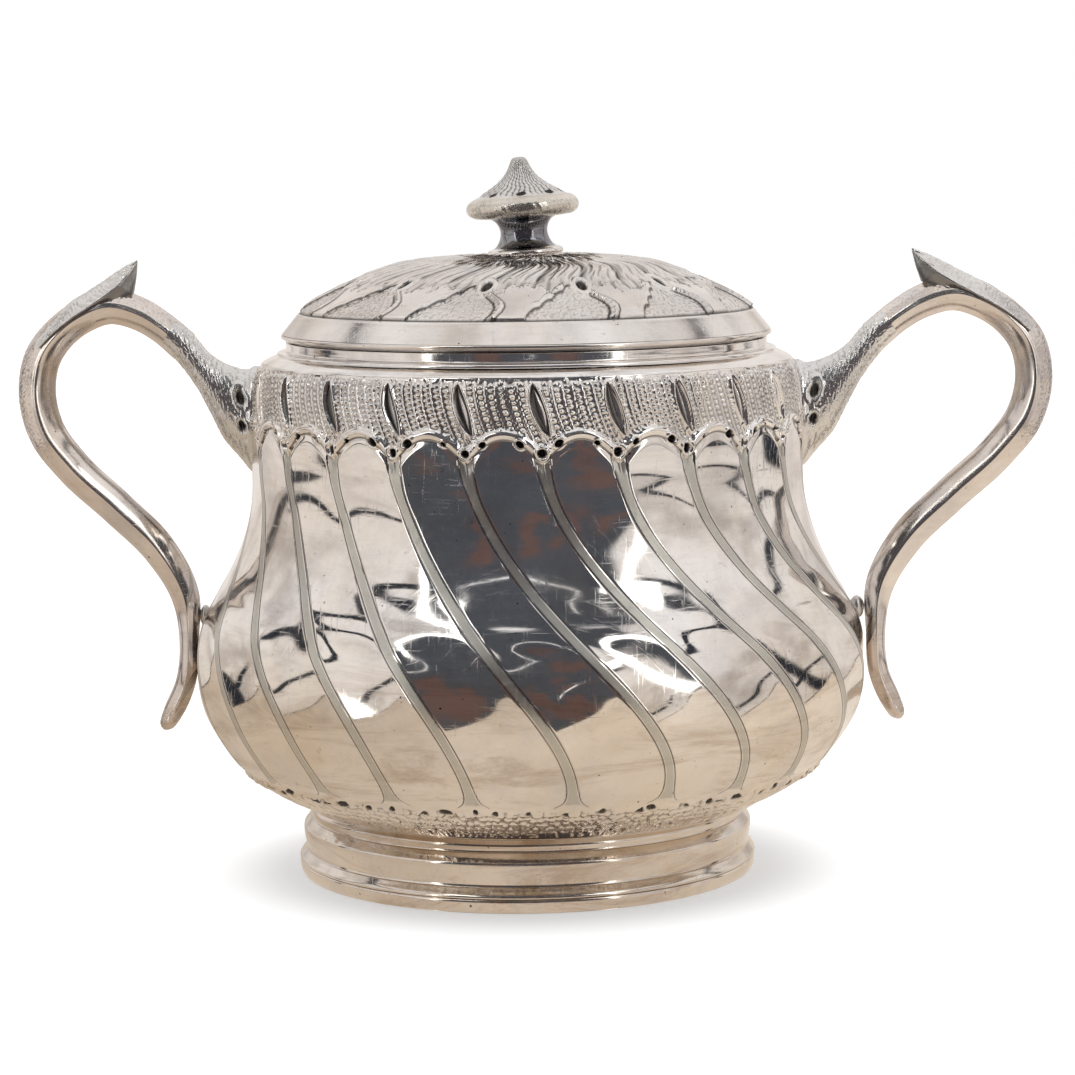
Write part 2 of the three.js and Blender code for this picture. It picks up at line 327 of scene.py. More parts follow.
def new_material(name):
    """An empty material, and the short forms that fill its node tree."""
    material = bpy.data.materials.new(name)
    material.use_nodes = True
    return material, Nodes(material.node_tree)


GREY_FILM = (0.58, 0.56, 0.56, 1.0)
BROWN_SMEAR = (0.43, 0.33, 0.24, 1.0)
PIT = (0.10, 0.07, 0.05, 1.0)
FRECKLE = (0.16, 0.11, 0.075, 1.0)
SATIN = (0.50, 0.49, 0.43, 1.0)
BLACKENED_AND_SHADE = (0.035, 0.030, 0.026, 1.0)
# Rotation and scale of the noise that is stretched into hairlines
HAIRLINE_WAYS = (
    ((12, 8, 31), (90, 90, 1900)),
    ((48, 20, 75), (1500, 60, 110)),
    ((70, -35, 10), (80, 2100, 120)),
)


def tarnish_and_reflection(nodes, place, tone, tarnish, low_warmth):
    """The metal's colour: warmer in clouds of tarnish, and warmer near the foot partly as tarnish
    and partly as a painted reflection of the warm table, with grey film, smears and pits.
    """
    height = nodes.add("ShaderNodeSeparateXYZ")
    nodes.plug(height.inputs[0], place)
    # Warmer towards the foot, partly tarnish and partly a painted reflection of the warm table;
    # it also strengthens the brown smears
    lower = nodes.ramp(height.outputs["Z"], 0.06, 0.02, 0.0, low_warmth)
    cloudy = nodes.noise(place, 34.0, detail=5.0, roughness=0.62, distortion=0.6)
    clouds = nodes.math("MULTIPLY", nodes.ramp(cloudy, 0.35, 0.72), 0.55)
    warmth = nodes.math("MINIMUM", nodes.math("ADD", clouds, lower), 1.0)
    color = nodes.mix(warmth, (*tone, 1.0), (*tarnish, 1.0))

    film = nodes.ramp(nodes.noise(place, 55.0, detail=6.0, roughness=0.7), 0.42, 0.68, 0.0, 0.55)
    color = nodes.mix(film, color, GREY_FILM)
    smears = nodes.noise(nodes.stretched(place, (4, 7, 0), (26, 26, 150)), 1.0, 7.0, 0.75, 0.9)
    brown = nodes.math("MULTIPLY", nodes.ramp(smears, 0.45, 0.66), nodes.math("ADD", lower, 0.14))
    color = nodes.mix(brown, color, BROWN_SMEAR)
    pits = nodes.ramp(nodes.noise(place, 1100.0, detail=1.0), 0.775, 0.80)
    color = nodes.mix(pits, color, PIT)
    freckles = nodes.ramp(nodes.noise(place, 420.0, detail=4.0, roughness=0.7), 0.62, 0.78)
    return nodes.mix(nodes.math("MULTIPLY", freckles, 0.3), color, FRECKLE)


def hairlines(nodes, place):
    """Fine scratches that run three ways: 1 in a scratch, 0 elsewhere."""
    scratched = 0.0
    for rotation, scale in HAIRLINE_WAYS:
        streaks = nodes.stretched(place, rotation, scale)
        streaks = nodes.noise(streaks, 1.0, detail=3.0, roughness=0.75)
        scratched = nodes.math("MAXIMUM", nodes.ramp(streaks, 0.58, 0.7), scratched)
    return scratched


def silver(name, tone, tarnish, roughness=0.09, grain=0.0, low_warmth=0.5):
    """Silver plate that follows a value at each point: satin below 0, polished at 0, darkened
    above, partly as tarnish in the chasing and partly as painted shade.
    """
    material, nodes = new_material(name)
    place = nodes.add("ShaderNodeTexCoord").outputs["Object"]
    patina_and_shade = nodes.add("ShaderNodeAttribute", attribute_name="patina_and_shade").outputs["Fac"]
    satin = nodes.ramp(patina_and_shade, -0.2, -0.8)
    dark = nodes.ramp(patina_and_shade, 0.05, 0.95, 0.0, 0.93)
    color = tarnish_and_reflection(nodes, place, tone, tarnish, low_warmth)
    color = nodes.mix(nodes.math("MULTIPLY", satin, 0.7), color, SATIN)
    # Darkening from tarnish in the chasing and from painted shade
    color = nodes.mix(dark, color, BLACKENED_AND_SHADE)

    scratched = hairlines(nodes, place)
    dull = nodes.ramp(nodes.noise(place, 90.0, detail=6.0, roughness=0.7), 0.4, 0.75)
    gloss = roughness
    for layer, amount in ((dull, 0.06), (scratched, 0.13), (nodes.math("ADD", dark, satin), 0.3)):
        gloss = nodes.math("ADD", nodes.math("MULTIPLY", layer, amount), gloss)

    fine = nodes.noise(place, 1400.0, detail=3.0, roughness=0.6)
    surface = nodes.math("ADD", nodes.math("MULTIPLY", scratched, -0.15),
                         nodes.math("MULTIPLY", fine, 0.12 + grain))
    bump = nodes.add("ShaderNodeBump")
    bump.inputs["Strength"].default_value = 0.12 + 0.5 * grain
    bump.inputs["Distance"].default_value = 0.0001
    nodes.plug(bump.inputs["Height"], surface)

    shader = nodes.add("ShaderNodeBsdfPrincipled")
    shader.inputs["Metallic"].default_value = 1.0
    nodes.plug(shader.inputs["Base Color"], color)
    nodes.plug(shader.inputs["Roughness"], gloss)
    nodes.plug(shader.inputs["Normal"], bump.outputs[0])
    nodes.send(shader)
    return material


PALE = (0.86, 0.835, 0.81)
PINK = (0.74, 0.66, 0.60)
GOLD = (0.68, 0.60, 0.51)
POLISHED = silver("polished_silver", PALE, PINK)
BODY = silver("body_silver", PALE, (0.74, 0.65, 0.54), roughness=0.055, low_warmth=0.55)
WARM = silver("warm_silver", (0.82, 0.77, 0.72), GOLD, roughness=0.1)
HANDLE = silver("handle_silver", (0.80, 0.74, 0.69), (0.60, 0.49, 0.40), roughness=0.13)
CHASED = silver("chased_silver", (0.78, 0.765, 0.745), (0.62, 0.59, 0.54), roughness=0.2,
                grain=0.6)
DARK = silver("dark_silver", (0.24, 0.25, 0.28), (0.15, 0.15, 0.17), roughness=0.12)
GILT = silver("gilt_silver", (0.76, 0.72, 0.65), (0.55, 0.48, 0.39), roughness=0.2, grain=0.6)
PLAIN = silver("plain_silver", (0.66, 0.63, 0.60), (0.5, 0.45, 0.4), roughness=0.3)
BRASS = silver("fixing_brass", (0.62, 0.47, 0.22), (0.40, 0.28, 0.12), roughness=0.35)
LID = silver("lid_silver", (0.82, 0.79, 0.755), (0.72, 0.62, 0.53), roughness=0.14, grain=0.25,
             low_warmth=0.0)


# ---------------------------------------------------------------- bowl body

def whole_turn(top):
    """Degrees a rib turns on its way down: a little less for those at the front left."""
    top = np.mod(top + 180.0, 360.0) - 180.0
    return SWIRL_TURN - 4.9 * smoothstep(-13.0, -43.0, top) * smoothstep(-175.0, -115.0, top)


def turned_so_far(z):
    return 1.0 - smoothstep(SWIRL_BOTTOM, SWIRL_TOP, z)


def flute_columns(per_flute):
    """Angles from a rib's middle, closer together near the rib."""
    t = np.arange(per_flute) / per_flute - 0.5
    return FLUTE_PITCH * (t - 0.3 * np.sin(2.0 * math.pi * t) / (2.0 * math.pi))


def graded_rows(outline, spacing_at):
    """Outline points whose spacing follows spacing_at(height)."""
    fine = smooth_curve(outline, 6000)
    step = np.linalg.norm(np.diff(fine, axis=0), axis=1)
    density = np.concatenate([[0.0], np.cumsum(step / spacing_at(fine[1:, 1]))])
    wanted = np.linspace(0.0, density[-1], int(density[-1]) + 1)
    return np.stack([np.interp(wanted, density, column) for column in fine.T], axis=1)


def body_spacing(z):
    """Distance between rows: short where the body is chased, long down the flutes."""
    spacing = np.full(z.shape, 1.0)
    spacing[z > BAND_START] = 0.21
    spacing[z > 101.4] = 0.35
    spacing[z < BORDER_END] = 0.26
    spacing[z < 14.6] = 0.4
    return spacing


def flute_relief(local, z, radius, lean, bend):
    """Slightly hollow strips from rib to rib, and the engraved lines beside them."""
    across = np.abs(np.radians(local)) * radius * np.cos(lean)
    reach = math.radians(FLUTE_PITCH / 2.0) * radius * np.cos(lean)
    top_flare = 0.5 * smoothstep(78.0, 87.0, z)
    edge = RIB_HALF_WIDTH + top_flare + 2.8 * np.exp(-(z - FLUTE_FLOOR) / 1.3)
    half = np.maximum(reach - edge, 0.1)
    off_middle = np.clip((reach - across) / half, 0.0, 1.0)
    hollow = 0.72 * bend * half**2
    rib_level = -0.45 * smoothstep(80.0, 87.0, z) - 0.2 * smoothstep(26.0, FLUTE_FLOOR, z)
    panel = rib_level - hollow * (1.0 - off_middle**2) + 0.5 * smoothstep(82.0, 87.0, z)
    groove = mound((across - edge) / 0.25)
    return panel, rib_level, groove, across - edge


def bend_across(outline, lean):
    """How sharply the turned shape curves in the direction across the ribs."""
    normal = outline_normals(outline)
    tilt = np.unwrap(np.arctan2(normal[:, 1], normal[:, 0]))
    length = np.concatenate([[0.0], np.cumsum(np.linalg.norm(np.diff(outline, axis=0), axis=1))])
    upright = np.gradient(tilt, length)[:, None]
    round_axis = normal[:, :1] / outline[:, :1]
    return np.clip(round_axis * np.cos(lean) ** 2 + upright * np.sin(lean) ** 2, -0.01, 0.03)


def arch_middle(offset):
    """Height of the middle of the scalloped ridge, so far from the lobe's middle."""
    return ARCH_TOP - 0.085 * offset**2


def punched_ovals(offset, flute, z):
    """Tilted ovals punched below the ridge, one on each side of every lobe."""
    side = np.sign(offset)
    along = np.abs(offset) - 2.7 - 1.5 * scatter(flute, side, 3)
    above = z - PUNCH_LEVEL - 0.3 * scatter(flute, side, 8)
    tilted_x = along * math.cos(0.6) - above * math.sin(0.6)
    tilted_z = along * math.sin(0.6) + above * math.cos(0.6)
    size = 0.42 + 0.55 * scatter(flute, side, 5)
    oval = np.sqrt((tilted_x / 1.05) ** 2 + (tilted_z / 0.78) ** 2) / size
    height = 0.32 * mound((oval - 1.35) / 0.55) - 1.1 * mound(oval / 1.15)
    there = smoothstep(0.12, 0.22, scatter(flute, side, 21))
    return height, smoothstep(1.1, 0.75, oval) * there


def junction_rings(from_rib, flute, z):
    """A ring round a punched hole where two lobes meet."""
    ring = np.hypot(from_rib, z - RING_LEVEL) / (0.8 + 0.2 * scatter(flute, 4, 6))
    height = 0.42 * mound((ring - 1.25) / 0.6) - 0.9 * mound(ring / 0.85)
    return height, smoothstep(0.85, 0.55, ring)


def scallop_relief(offset, from_rib, flute, z):
    """The raised scalloped line over the lobes, and how far each point lies above it."""
    slope = np.arctan(0.17 * offset)
    distance = (z - arch_middle(offset)) * np.cos(slope)
    ridge = mound((distance - 0.1) / 1.2) * (1.0 - smoothstep(5.6, 6.6, np.abs(offset)))
    ovals, oval_dark = punched_ovals(offset, flute, z)
    rings, ring_dark = junction_rings(from_rib, flute, z)
    return 0.55 * ridge + ovals + rings, oval_dark + ring_dark, distance


def almonds(across, half):
    """Pointed hollows with a raised lip, with painted shade on their left."""
    open_here = smoothstep(0.0, 0.3, half)
    lens = np.clip(1.0 - (across / np.maximum(half, 0.05)) ** 2, 0.0, 1.0) * open_here
    lip = mound((np.abs(across) - half - 0.3) / 0.5) * open_here
    shade = np.clip(0.7 - 0.95 * across / np.maximum(half, 0.3), 0.0, 0.9)
    return 0.35 * lip - 0.55 * lens, smoothstep(0.1, 0.6, lens) * shade


def bead_columns(across, half, width, flute, z):
    """Leaning columns of small beads between two almonds, with a fine seam between columns."""
    gap = (width - 4.4) / 5.0
    place = (np.abs(across) - 2.2) / gap
    column = np.clip(np.round(place), 0, 3)
    side = column + 7.0 * (across > 0)
    off_column = (place - column) * gap
    level = z + scatter(side, flute, 5)
    row = np.round(level)
    off_row = level - row + 0.25 * (scatter(row, side, flute) - 0.5)
    size = 0.75 + 0.5 * scatter(row, side, flute + 31)
    bead = mound(np.hypot(off_column / 0.68, off_row / (0.52 * size)))
    seam = mound((np.abs(off_column) - gap / 2.0) / 0.42)
    clear = smoothstep(0.35, 0.8, np.abs(across) - half)
    here = clear * smoothstep(100.5, 99.9, z + 0.35 * np.sin(across * 1.7 + flute))
    height = here * (0.42 * size * bead + 0.26 * seam - 0.2)
    return height, here * (0.5 - 0.6 * bead - 0.42 * seam)


def band_relief(from_rib, flute, z):
    """The chased band: an almond over each rib and columns of beads between the almonds."""
    width = math.radians(FLUTE_PITCH) * BAND_RADIUS
    above = z - BAND_MIDDLE
    across = from_rib + 0.6 + 0.283 * above - 0.02 * above**2
    across = np.mod(across + width / 2.0, width) - width / 2.0
    half = 1.25 * (1.0 - ((z - 94.9) / 5.2) ** 2)
    height, dark = almonds(across, half)
    beads, bead_dark = bead_columns(across, half, width, flute, z)
    return height + beads, np.clip(dark + bead_dark, 0.0, 1.0)


def border_relief(turn, flute, local, z, radius):
    """The pebbled border under the lobes, with long punch marks along its top."""
    girth = math.tau * BORDER_RADIUS
    arc = turn * girth
    grain = pebbles(arc, z * 0.75, 1.0, period=girth)
    here = smoothstep(FLUTE_FLOOR - 0.1, FLUTE_FLOOR - 0.7, z)
    here = here * smoothstep(BORDER_BOTTOM, BORDER_BOTTOM + 1.0, z)
    rope = mound(z - FLUTE_FLOOR + 0.9 + 0.3 * np.sin(arc * 1.1))
    height = here * (0.42 * grain - 0.25) + 0.4 * rope
    dark = here * (0.5 - 0.62 * grain)
    for number in range(3):
        middle = -5.2 + 4.6 * number + 3.4 * (scatter(flute, number, 9) - 0.5)
        level = FLUTE_FLOOR - 0.75 + 0.9 * (scatter(flute, number, 12) - 0.5)
        length = 0.5 + 1.2 * scatter(flute, number, 15)
        across = (local - middle) * math.radians(1.0) * radius
        mark = np.hypot(across / length, (z - level) / 0.5)
        height -= 0.7 * mound(mark)
        dark += smoothstep(1.0, 0.6, mark)
    return height, np.clip(dark, 0.0, 1.0)


def body_relief(outline, top, local, flute, degrees):
    """Height over the plain turned shape, and darkening, partly tarnish and partly painted shade,
    of every point of the body's outside.
    """
    radius, z = outline[:, :1], outline[:, 1:]
    widening = whole_turn(top + 0.5) - whole_turn(top - 0.5)
    girth = radius * (1.0 + widening * turned_so_far(z))
    twist = np.clip(np.gradient(turned_so_far(z[:, 0]), z[:, 0]), -0.1, 0.1)[:, None]
    lean = np.arctan(radius * np.radians(whole_turn(top)) * twist)
    bend = bend_across(outline, lean)
    panel, rib_level, groove, from_edge = flute_relief(local, z, girth, lean, bend)
    from_rib = np.radians(local) * girth
    offset = np.radians(np.abs(local) - FLUTE_PITCH / 2.0) * girth * np.sign(local)
    scallop, punched, over_arch = scallop_relief(offset, from_rib, flute, z)
    band, band_dark = band_relief(from_rib, flute, z)
    turn = np.mod(degrees / 360.0, 1.0)
    border, border_dark = border_relief(turn, flute, local, z, girth)

    in_lobes = smoothstep(-0.75, -1.15, over_arch) * smoothstep(FLUTE_FLOOR, FLUTE_FLOOR + 0.5, z)
    ends = smoothstep(-0.8, -2.6, over_arch) * smoothstep(FLUTE_FLOOR, FLUTE_FLOOR + 2.0, z)
    on_shoulder = smoothstep(SHOULDER_START, SHOULDER_START + 0.6, z)
    on_band = smoothstep(0.75, 1.2, over_arch) * (1.0 - on_shoulder)
    plain_foot = smoothstep(BORDER_BOTTOM + 1.0, BORDER_BOTTOM, z)

    plain = round_the_axis(radius, z, degrees)
    uneven = dents(plain, 24.0, 3) * 0.024 + dents(plain, 10.0, 4) * 0.006
    level = -0.45 * (1.0 - on_shoulder) * (1.0 - plain_foot) + 0.15 * smoothstep(96.0, 100.0, z)
    strip = np.where(from_edge > 0.0, panel, rib_level) * ends - 0.55 * (1.0 - ends)
    height = level * (1.0 - in_lobes) + in_lobes * strip
    height = height - 0.06 * groove * in_lobes + scallop * smoothstep(84.5, 85.5, z)
    height = height + band * on_band + border + uneven * (0.4 + 0.6 * in_lobes)

    arch_line = mound((over_arch + 0.95) / 0.35) * (from_edge > -0.2) * (z > 80.0)
    dark = in_lobes * groove * 0.95 + 0.8 * arch_line + punched * (z > 84.5)
    dark = dark + band_dark * on_band + border_dark
    ribs = smoothstep(-0.15, -0.35, from_edge) * in_lobes * smoothstep(FLUTE_FLOOR, 24.5, z)
    return height, np.clip(dark - ribs * smoothstep(0.3, 0.0, dark), -1.0, 1.0)


def build_body_outside():
    """The swirled shell, cut into rings at the edges of the finely meshed chasing."""
    outline = graded_rows(BODY_OUTLINE, body_spacing)
    one_flute = flute_columns(60)
    local = np.tile(one_flute, FLUTES)[None, :]
    flute = np.repeat(np.arange(FLUTES), len(one_flute))[None, :]
    top = FIRST_RIB + flute * FLUTE_PITCH + local
    degrees = top + whole_turn(top) * turned_so_far(outline[:, 1:])
    height, patina_and_shade = body_relief(outline, top, local, flute, degrees)
    points = raised(outline, height, degrees)
    normals = grid_normals(points)

    # Heights rise along the outline up to its last rows, which turn down into the mouth
    levels = outline[:, 1]
    edges = [int(np.searchsorted(levels, edge)) for edge in (BORDER_END, BAND_START)]
    cuts = [0, *edges, len(points) - 1]
    names = ("body_lower_border", "body_flutes", "body_shoulder")
    for name, start, end in zip(names, cuts, cuts[1:]):
        rows = slice(start, end + 1)
        nodes = ("bowl_body",) if name == "body_flutes" else ()
        mesh_piece(name, points[rows], "bowl", BODY, patina_and_shade=patina_and_shade[rows],
                   normals=normals[rows], nodes=nodes)


def build_body_inside():
    wall = np.array([(r, z) for r, z in BODY_OUTLINE if 16.0 < z < 101.0])
    wall = wall - WALL * outline_normals(wall)
    floor = BODY_BOTTOM + WALL
    mouth = [(MOUTH_RADIUS, MOUTH_EDGE), (MOUTH_RADIUS, 101.0)]
    hollow = [*wall[::-1].tolist(), (40.0, floor), (0.01, floor)]
    turned("body_inside", [mouth, hollow], 240, "bowl", POLISHED, spacing=1.0)
    turned("body_underside", [[(0.01, BODY_BOTTOM), (42.5, BODY_BOTTOM)]], 160, "bowl",
           PLAIN, spacing=2.0)


build_body_outside()
build_body_inside()


# ---------------------------------------------------------------- foot and mouth

FOOT_OFFSET = -1.1


def off_centre(points):
    """The foot is soldered on slightly to the left of the body's axis."""
    return points + (FOOT_OFFSET, 0.0, 0.0)


def build_foot():
    base = low("foot_ring")[2]
    top = BODY_BOTTOM + 0.15
    outside = [
        [(42.4, base), (44.9, base)],
        [(45.25, 2.8), (45.3, 3.05), (45.15, 3.35), (44.6, 4.05), (44.1, 4.7)],
        [(44.0, 5.0), (44.25, 7.0), (44.4, 9.0), (44.35, 9.35), (44.1, 9.7), (43.0, 11.1)],
        [(42.9, 11.4), (42.95, 12.2), (42.9, 12.6), (42.6, 13.1), (42.3, top)],
        [(40.6, top)],
        [(41.0, 10.0), (42.0, 5.0), (42.4, base)],
    ]
    turned("foot_moulding", outside, 300, "bowl", WARM, nodes=("foot_ring",),
           move=off_centre, spacing=0.18)
    inner = 41.6
    rim_top = high("foot_base_wire")[2] + 0.25
    wire = [
        [(inner, 0.0), (44.7, 0.0)],
        [(44.85, 0.2), (45.2, rim_top - 0.4), (45.15, rim_top - 0.15), (44.9, rim_top)],
        [(inner, rim_top)],
        [(inner, 0.0)],
    ]
    turned("foot_rim", wire, 300, "bowl", WARM, nodes=("foot_base_wire",),
           move=off_centre, spacing=0.2)


def build_collar():
    inner = -low("lid_bezel")[0] + 0.3
    outer = 46.8
    base = 100.5
    top = COLLAR_TOP
    bead = BODY_TOP - 0.65
    collar = [
        [(inner, base), (outer, base)],
        [(outer, bead - 0.7)],
        [(48.2, bead - 0.7), (48.95, bead - 0.15), (48.85, bead + 0.35), (48.1, bead + 0.65),
         (47.5, bead + 0.6)],
        [(47.15, bead + 0.8), (47.1, bead + 1.5), (47.1, top - 0.15)],
        [(46.9, top)],
        [(inner, top)],
        [(inner, base)],
    ]
    turned("mouth_ring", collar, 300, "bowl", POLISHED,
           nodes=("mouth_collar",), spacing=0.2)


build_foot()
build_collar()


# ---------------------------------------------------------------- lid

DOME_OUTLINE = [
    (47.85, LID_RIM_TOP - 0.5), (47.2, 107.2), (46.3, 108.3), (45.4, 109.4), (44.5, 110.5),
    (42.2, 112.1), (38.7, 114.0), (35.2, 115.8), (31.2, 117.6), (24.5, 119.7), (18.0, 120.5),
    (10.0, LID_TOP), (1.8, LID_TOP),
]
LID_UNITS = 12
LID_PITCH = 360.0 / LID_UNITS
LID_HOLE = -12.0
HOLE_RADIUS = 34.0
CHASING_RADIUS = 44.4


def stem_line(r):
    """Degrees from the hole to the middle of the polished stem, by radius."""
    knots = [33.0, 35.0, 36.5, 38.0, 39.5, 41.0, 42.5, 44.4]
    return np.interp(r, knots, [-0.6, -0.3, 0.8, 3.2, 4.9, 5.5, 5.0, 3.4])


def lid_stems(local, r):
    """A raised, polished stem below each hole, engraved along both sides."""
    off_stem = (local - stem_line(r)) * np.radians(1.0) * r
    on_stem = smoothstep(33.2, 34.2, r)
    line = mound((np.abs(off_stem) - 1.0) / 0.4)
    return 0.45 * mound(off_stem / 1.1) * on_stem, 0.85 * line * on_stem


def lid_feathers(local, unit, r):
    """Stippled ground under a scalloped feather, and smooth blades with torn tops beside it."""
    feather = 33.6 + 0.70 * np.clip(-local - 3.2, 0.0, 30.0)
    scallops = 0.75 * np.abs(np.sin(np.radians((local + 3.2) * 180.0 / 3.7)))
    below = (r - feather + scallops) * 0.8
    left = local < stem_line(r)
    stippled = smoothstep(0.0, 0.35, below) * left * smoothstep(-18.5, -17.5, local) * (r > 33.5)
    grain = pebbles(local * 0.68 + 40.0, r, 0.62)
    edge = left * smoothstep(33.2, 34.2, r) * smoothstep(-19.0, -17.5, local)
    height = 0.3 * mound((below + 1.0) / 0.9) * edge - stippled * (0.25 - 0.16 * grain)
    dark = 0.75 * mound(below / 0.45) * edge + stippled * (0.42 - 0.3 * grain)

    blade = (1.0 - stippled) * smoothstep(31.5, 33.5, r)
    teeth = np.abs(np.mod(local * 0.55 + 0.3 * np.sin(2.3 * local + unit), 1.0) - 0.5)
    torn = r - 36.0 + 4.2 * teeth - 1.3 * np.sin(0.55 * local + unit)
    ragged = smoothstep(0.2, -0.2, torn)
    strokes = np.sin(np.radians(local * 84.0) + 0.5 * r)
    height += blade * (0.25 - ragged * (0.2 + 0.06 * strokes))
    hatched = ragged * (0.25 + 0.3 * smoothstep(0.1, 0.9, strokes))
    dark += blade * (hatched + 0.6 * mound(torn / 0.35))
    return height, dark


def lid_hatching(degrees, r):
    """Fine curved hatching over the upper dome, with two soft swells for each scroll."""
    sweep = degrees + 0.35 * (r - 20.0) + 2.0 * np.sin(0.45 * r)
    hatch = 0.6 * np.sin(np.radians(sweep * 96.0)) + 0.4 * np.sin(np.radians(sweep * 168.0) + r)
    swell = np.sin(np.radians(sweep * 2.0 * LID_UNITS))
    upper = smoothstep(33.5, 31.0, r) * smoothstep(7.0, 8.5, r)
    shade = 0.14 + 0.4 * smoothstep(0.1, 0.8, -hatch) + 0.4 * smoothstep(0.6, 0.98, -swell)
    return upper * (0.16 * hatch + 0.2 * swell), upper * shade


def lid_notches(degrees, r):
    """A ring of long dark notches round the finial."""
    pitch = 15.0
    ray = np.mod(degrees + 1.2 * r, pitch) - pitch / 2.0
    notch = np.hypot(ray * np.radians(1.0) * r / 0.6, (r - 10.8) / 3.4)
    return -0.35 * mound(notch), 0.9 * smoothstep(1.0, 0.5, notch)


def lid_relief(degrees, r):
    """Chasing of the dome: twelve feathery scrolls, each hung from a punched hole."""
    start = LID_PITCH - 12.0
    from_start = degrees - LID_HOLE + start
    local = np.mod(from_start, LID_PITCH) - start
    unit = np.floor(from_start / LID_PITCH)
    layers = (lid_stems(local, r), lid_feathers(local, unit, r), lid_hatching(degrees, r),
              lid_notches(degrees, r))
    height = sum(layer_height for layer_height, _ in layers)
    dark = sum(layer_dark for _, layer_dark in layers)

    across = (local + 0.2 * (r - HOLE_RADIUS)) * np.radians(1.0) * r
    hole = np.hypot(across, (r - HOLE_RADIUS) / 1.9)
    height = height * smoothstep(1.2, 2.0, hole)
    height = height + 0.42 * mound((hole - 1.4) / 0.6) - mound(hole / 1.1)
    # Each punched hole is painted dark as the shadow inside it
    dark = dark * smoothstep(1.5, 2.3, hole) + smoothstep(1.1, 0.75, hole)

    chased = smoothstep(CHASING_RADIUS + 0.1, CHASING_RADIUS - 0.2, r)
    line = mound((r - CHASING_RADIUS) / 0.35)
    return height * chased - 0.2 * line, np.clip(dark * chased + 0.85 * line, 0.0, 1.0)


def build_lid():
    outline = smooth_curve(DOME_OUTLINE, 150)
    degrees = all_round(960)
    height, dark = lid_relief(degrees, outline[:, :1] + 0.0 * degrees)
    plain = round_the_axis(outline[:, :1], outline[:, 1:], degrees)
    points = raised(outline, height + 0.03 * dents(plain, 18.0, 8), degrees)
    mesh_piece("lid_dome_top", points, "lid", LID, patina_and_shade=dark,
               normals=grid_normals(points), nodes=("lid_dome",))

    inside = np.array(DOME_OUTLINE[1:])
    inside = (inside - 1.2 * outline_normals(inside))[::-1].tolist()
    edge = LID_RIM_TOP - 0.1
    turned("lid_dome_inside", [inside, [(45.6, edge)], [(47.3, edge)]], 240, "lid",
           PLAIN, spacing=0.8)


def build_lid_rim():
    inner = -low("lid_bezel")[0] + 0.1
    under = LID_BOTTOM
    rim = [
        [(inner, under), (47.2, under)],
        [(47.8, under + 0.12), (48.05, under + 0.5), (47.95, under + 0.9), (47.6, under + 1.2)],
        [(47.0, LID_RIM_TOP)],
        [(inner, LID_RIM_TOP)],
    ]
    turned("lid_rim", rim, 300, "lid", WARM, nodes=("lid_rim_wire",),
           spacing=0.15)


def build_lid_flange():
    outer = -low("lid_bezel")[0]
    inner = outer - 1.0
    top = high("lid_bezel")[2]
    straight = BEZEL_BOTTOM + 0.4
    flange = [
        [(inner, top), (inner, straight)],
        [(outer - 0.7, BEZEL_BOTTOM), (outer - 0.3, BEZEL_BOTTOM), (outer, straight)],
        [(outer, top)],
        [(inner, top)],
    ]
    turned("lid_flange", flange, 300, "lid", PLAIN, nodes=("lid_bezel",),
           spacing=0.4)


build_lid()
build_lid_rim()
build_lid_flange()


# ---------------------------------------------------------------- finial

FINIAL_LEAN = math.radians(-3.4)
FINIAL_ROW = 0.14

# Radius and height over the top of the base ring
RING_OUTLINE = [
    (1.8, -1.4), (6.2, -1.4), (7.2, -1.25), (7.45, -0.75), (7.2, -0.2), (6.5, 0.1), (5.8, 0.3),
]
SPOOL_OUTLINE = [
    (6.6, 0.0), (5.7, 0.5), (5.05, 1.4), (4.65, 2.6), (4.6, 3.3), (4.85, 4.4), (5.5, 5.4),
    (6.6, 6.1),
]
PLATE_OUTLINE = [
    (4.0, 6.15), (8.0, 6.1), (9.8, 6.45), (10.8, 7.3), (11.0, 8.0), (10.75, 8.9), (9.8, 9.8),
    (8.4, 10.3), (7.0, 10.5),
]
CONE_OUTLINE = [
    (9.3, 10.0), (8.3, 10.45), (6.9, 11.25), (5.2, 12.3), (3.6, 13.6), (2.6, 14.9),
    (1.95, 16.2), (1.6, 17.0), (1.25, 17.5), (0.6, 17.72), (0.02, 17.75),
]


def leaning(points):
    """Leans the finial about the top of its base ring."""
    sine, cosine = math.sin(FINIAL_LEAN), math.cos(FINIAL_LEAN)
    x, y, z = np.moveaxis(points, -1, 0)
    return np.stack([x * cosine + z * sine, y, z * cosine - x * sine + FINIAL_FOOT], axis=-1)


def finial_piece(name, node, outline, columns, relief, material):
    rows = max(int(curve_length(np.array(outline)) / FINIAL_ROW), 20)
    outline = smooth_curve(outline, rows)
    degrees = all_round(columns)
    height, dark = relief(degrees, outline[:, :1] + 0.0 * degrees, outline[:, 1:] + 0.0 * degrees)
    points = leaning(raised(outline, height, degrees))
    mesh_piece(name, points, "lid", material, patina_and_shade=dark, normals=grid_normals(points),
               nodes=(node,))


